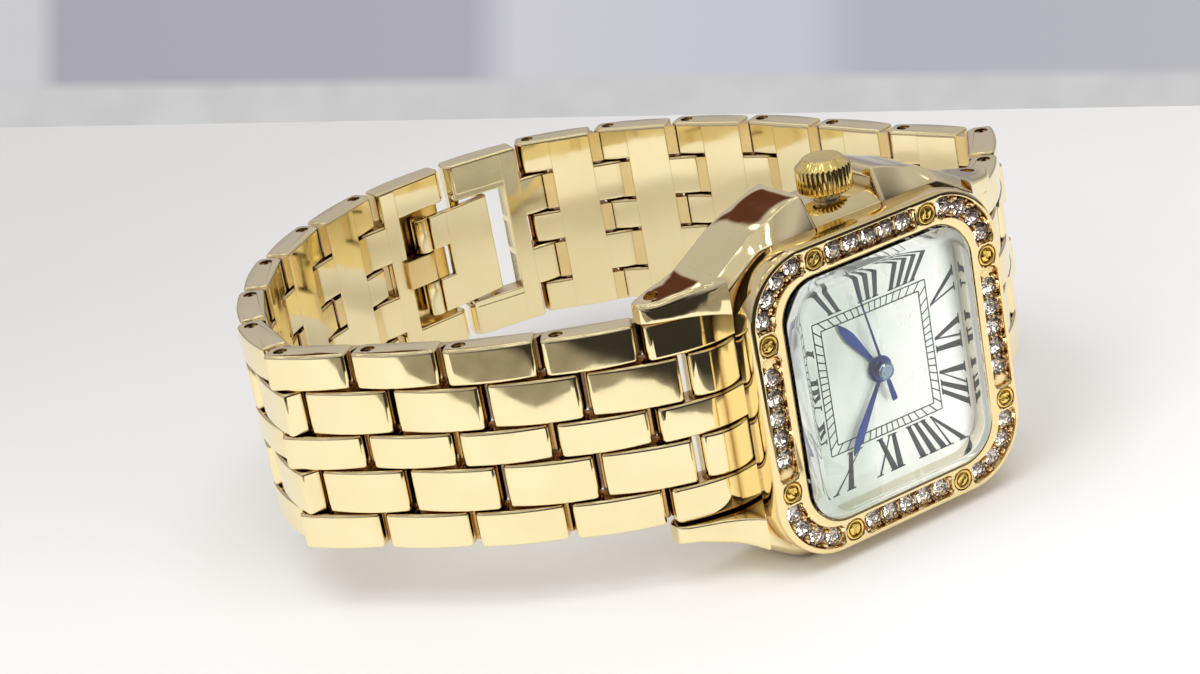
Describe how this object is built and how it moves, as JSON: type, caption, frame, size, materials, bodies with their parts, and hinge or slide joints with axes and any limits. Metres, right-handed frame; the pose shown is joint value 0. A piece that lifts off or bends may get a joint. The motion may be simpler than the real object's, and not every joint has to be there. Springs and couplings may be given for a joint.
{
  "type": "dress watch",
  "caption": "Small quartz dress watch with a rounded-square stone-set bezel, fluted crown and brick-link bracelet closed by a hinged hook clasp, standing on its nine o'clock side.",
  "frame": {"origin": "centre of the flat nine o'clock side of the case, which is the face the watch stands on", "axes": "+X from 12 to 6 o'clock along the dial, +Y from the dial towards the case back and the clasp, +Z from 9 to 3 o'clock, out of the crown"},
  "size_m": [0.0591, 0.0537, 0.0273],
  "materials": {
    "gold": "polished yellow gold plating",
    "gold_pin": "satin gold-coloured pins",
    "stone": "clear cut stones",
    "crystal": "polished mineral glass",
    "mother_of_pearl": "mother-of-pearl face",
    "blue_steel": "blued steel",
    "steel": "satin steel",
    "brass": "plain machined brass",
    "gasket": "black rubber",
    "ring_plastic": "white moulded plastic",
    "board": "green circuit board",
    "copper": "lacquered copper wire",
    "magnet": "sintered magnet"
  },
  "bodies": {
    "case": {"case_body": "gold", "bezel": "gold", "bezel_stones": "stone", "bezel_screws": "gold", "crystal": "crystal", "crystal_gasket": "gasket", "dial": "mother_of_pearl", "case_back": "steel", "back_gasket": "gasket", "lug_pins": "gold_pin", "crown_tube": "steel", "movement_ring": "ring_plastic", "main_plate": "brass", "train_bridge": "brass", "bridge_screws": "steel", "circuit_board": "board", "quartz_can": "steel", "coil": "copper", "stator": "steel", "battery": "steel", "battery_clip": "steel"},
    "rotor": {"rotor": "magnet"},
    "step_wheel": {"step_wheel": "brass"},
    "third_wheel": {"third_wheel": "brass"},
    "seconds": {"second_wheel": "brass", "second_hand": "blue_steel"},
    "minutes": {"centre_wheel": "brass", "minute_hand": "blue_steel"},
    "minute_wheel": {"minute_wheel": "brass"},
    "hours": {"hour_wheel": "brass", "hour_hand": "blue_steel"},
    "lever": {"setting_lever": "steel"},
    "winder": {"stem": "steel", "clutch": "steel", "crown": "gold", "crown_gasket": "gasket"},
    "twelve_1": {"link_1": "gold"},
    "twelve_2": {"link_2": "gold"},
    "twelve_3": {"link_3": "gold"},
    "twelve_4": {"link_4": "gold"},
    "twelve_5": {"link_5": "gold"},
    "twelve_6": {"link_6": "gold"},
    "twelve_7": {"link_7": "gold"},
    "twelve_8": {"link_8": "gold"},
    "twelve_9": {"link_9": "gold"},
    "twelve_10": {"hook_link": "gold"},
    "hook": {"clasp_hook": "gold"},
    "six_1": {"link_18": "gold"},
    "six_2": {"link_17": "gold"},
    "six_3": {"link_16": "gold"},
    "six_4": {"link_15": "gold"},
    "six_5": {"link_14": "gold"},
    "six_6": {"link_13": "gold"},
    "six_7": {"link_12": "gold"},
    "six_8": {"link_11": "gold"},
    "six_9": {"frame_link": "gold"}
  },
  "joints": [
    {"name": "minute_turn", "type": "hinge", "parent": "case", "child": "minutes", "pos_m": [0, 0, 0.0123], "axis": [0, 1, 0], "continuous": true},
    {"name": "hour_turn", "type": "hinge", "parent": "case", "child": "hours", "pos_m": [0, 0, 0.0123], "axis": [0, 1, 0], "continuous": true},
    {"name": "minute_wheel_turn", "type": "hinge", "parent": "case", "child": "minute_wheel", "pos_m": [-0.00142, 0, 0.01089], "axis": [0, 1, 0], "continuous": true},
    {"name": "second_turn", "type": "hinge", "parent": "case", "child": "seconds", "pos_m": [0, 0, 0.0123], "axis": [0, 1, 0], "continuous": true},
    {"name": "third_turn", "type": "hinge", "parent": "case", "child": "third_wheel", "pos_m": [0.0018, 0, 0.0141], "axis": [0, 1, 0], "continuous": true},
    {"name": "step_turn", "type": "hinge", "parent": "case", "child": "step_wheel", "pos_m": [0.00177, 0, 0.01064], "axis": [0, 1, 0], "continuous": true},
    {"name": "rotor_turn", "type": "hinge", "parent": "case", "child": "rotor", "pos_m": [0.00337, 0, 0.00927], "axis": [0, 1, 0], "continuous": true},
    {"name": "crown_pull", "type": "slide", "parent": "case", "child": "lever", "axis": [0, 0, 1], "range_m": [0, 0.001]},
    {"name": "crown_turn", "type": "hinge", "parent": "lever", "child": "winder", "pos_m": [0, -0.00055, 0.025], "axis": [0, 0, 1], "continuous": true},
    {"name": "twelve_half_flex", "type": "hinge", "parent": "case", "child": "twelve_1", "pos_m": [-0.0139, 0.00165, 0.0123], "axis": [0, 0, 1], "range_deg": [0, 16]},
    {"name": "twelve_bend_2", "type": "hinge", "parent": "twelve_1", "child": "twelve_2", "pos_m": [-0.01962, 0.00532, 0.0123], "axis": [0, 0, 1], "range_deg": [-4, 0]},
    {"name": "twelve_bend_3", "type": "hinge", "parent": "twelve_2", "child": "twelve_3", "pos_m": [-0.02478, 0.00976, 0.0123], "axis": [0, 0, 1], "range_deg": [-4, 0]},
    {"name": "twelve_bend_4", "type": "hinge", "parent": "twelve_3", "child": "twelve_4", "pos_m": [-0.02909, 0.01502, 0.0123], "axis": [0, 0, 1], "range_deg": [-4, 0]},
    {"name": "twelve_bend_5", "type": "hinge", "parent": "twelve_4", "child": "twelve_5", "pos_m": [-0.03321, 0.02042, 0.0123], "axis": [0, 0, 1], "range_deg": [-4, 0]},
    {"name": "twelve_bend_6", "type": "hinge", "parent": "twelve_5", "child": "twelve_6", "pos_m": [-0.03218, 0.02715, 0.0123], "axis": [0, 0, 1], "range_deg": [-4, 0]},
    {"name": "twelve_bend_7", "type": "hinge", "parent": "twelve_6", "child": "twelve_7", "pos_m": [-0.02924, 0.03327, 0.0123], "axis": [0, 0, 1], "range_deg": [-4, 0]},
    {"name": "twelve_bend_8", "type": "hinge", "parent": "twelve_7", "child": "twelve_8", "pos_m": [-0.02517, 0.03873, 0.0123], "axis": [0, 0, 1], "range_deg": [-4, 0]},
    {"name": "twelve_bend_9", "type": "hinge", "parent": "twelve_8", "child": "twelve_9", "pos_m": [-0.01984, 0.04294, 0.0123], "axis": [0, 0, 1], "range_deg": [-4, 0]},
    {"name": "twelve_bend_10", "type": "hinge", "parent": "twelve_9", "child": "twelve_10", "pos_m": [-0.01364, 0.04574, 0.0123], "axis": [0, 0, 1], "range_deg": [-4, 0]},
    {"name": "clasp_hook_swing", "type": "hinge", "parent": "twelve_10", "child": "hook", "pos_m": [-0.00849, 0.04542, 0.0123], "axis": [0, 0, -1], "range_deg": [0, 95]},
    {"name": "six_half_open", "type": "hinge", "parent": "case", "child": "six_1", "pos_m": [0.0139, 0.00165, 0.0123], "axis": [0, 0, -1], "range_deg": [0, 41.4]},
    {"name": "six_bend_2", "type": "hinge", "parent": "six_1", "child": "six_2", "pos_m": [0.019, 0.00615, 0.0123], "axis": [0, 0, -1], "range_deg": [0, 10]},
    {"name": "six_bend_3", "type": "hinge", "parent": "six_2", "child": "six_3", "pos_m": [0.02324, 0.01146, 0.0123], "axis": [0, 0, -1], "range_deg": [0, 60.98]},
    {"name": "six_bend_4", "type": "hinge", "parent": "six_3", "child": "six_4", "pos_m": [0.02065, 0.01775, 0.0123], "axis": [0, 0, -1], "range_deg": [-5, 0]},
    {"name": "six_bend_5", "type": "hinge", "parent": "six_4", "child": "six_5", "pos_m": [0.01861, 0.02424, 0.0123], "axis": [0, 0, -1], "range_deg": [0, 2]},
    {"name": "six_bend_6", "type": "hinge", "parent": "six_5", "child": "six_6", "pos_m": [0.01635, 0.03065, 0.0123], "axis": [0, 0, -1], "range_deg": [0, 11]},
    {"name": "six_bend_7", "type": "hinge", "parent": "six_6", "child": "six_7", "pos_m": [0.01291, 0.03652, 0.0123], "axis": [0, 0, -1], "range_deg": [0, 11]},
    {"name": "six_bend_8", "type": "hinge", "parent": "six_7", "child": "six_8", "pos_m": [0.00841, 0.04162, 0.0123], "axis": [0, 0, -1], "range_deg": [0, 15.99]},
    {"name": "six_bend_9", "type": "hinge", "parent": "six_8", "child": "six_9", "pos_m": [0.00268, 0.04528, 0.0123], "axis": [0, 0, -1], "range_deg": [0, 23.99]}
  ],
  "couplings": [
    {"joint": "hour_turn", "follows": "minute_turn", "ratio": 0.083333},
    {"joint": "minute_wheel_turn", "follows": "minute_turn", "ratio": -0.33333},
    {"joint": "third_turn", "follows": "second_turn", "ratio": -0.13333},
    {"joint": "step_turn", "follows": "second_turn", "ratio": -5},
    {"joint": "rotor_turn", "follows": "second_turn", "ratio": 30},
    {"joint": "twelve_bend_2", "follows": "twelve_half_flex", "ratio": -0.25},
    {"joint": "twelve_bend_3", "follows": "twelve_half_flex", "ratio": -0.25},
    {"joint": "twelve_bend_4", "follows": "twelve_half_flex", "ratio": -0.25},
    {"joint": "twelve_bend_5", "follows": "twelve_half_flex", "ratio": -0.25},
    {"joint": "twelve_bend_6", "follows": "twelve_half_flex", "ratio": -0.25},
    {"joint": "twelve_bend_7", "follows": "twelve_half_flex", "ratio": -0.25},
    {"joint": "twelve_bend_8", "follows": "twelve_half_flex", "ratio": -0.25},
    {"joint": "twelve_bend_9", "follows": "twelve_half_flex", "ratio": -0.25},
    {"joint": "twelve_bend_10", "follows": "twelve_half_flex", "ratio": -0.25},
    {"joint": "six_bend_2", "follows": "six_half_open", "ratio": 0.24146},
    {"joint": "six_bend_3", "follows": "six_half_open", "ratio": 1.4729},
    {"joint": "six_bend_4", "follows": "six_half_open", "ratio": -0.12073},
    {"joint": "six_bend_5", "follows": "six_half_open", "ratio": 0.048291},
    {"joint": "six_bend_6", "follows": "six_half_open", "ratio": 0.2656},
    {"joint": "six_bend_7", "follows": "six_half_open", "ratio": 0.2656},
    {"joint": "six_bend_8", "follows": "six_half_open", "ratio": 0.38633},
    {"joint": "six_bend_9", "follows": "six_half_open", "ratio": 0.57949}
  ]
}
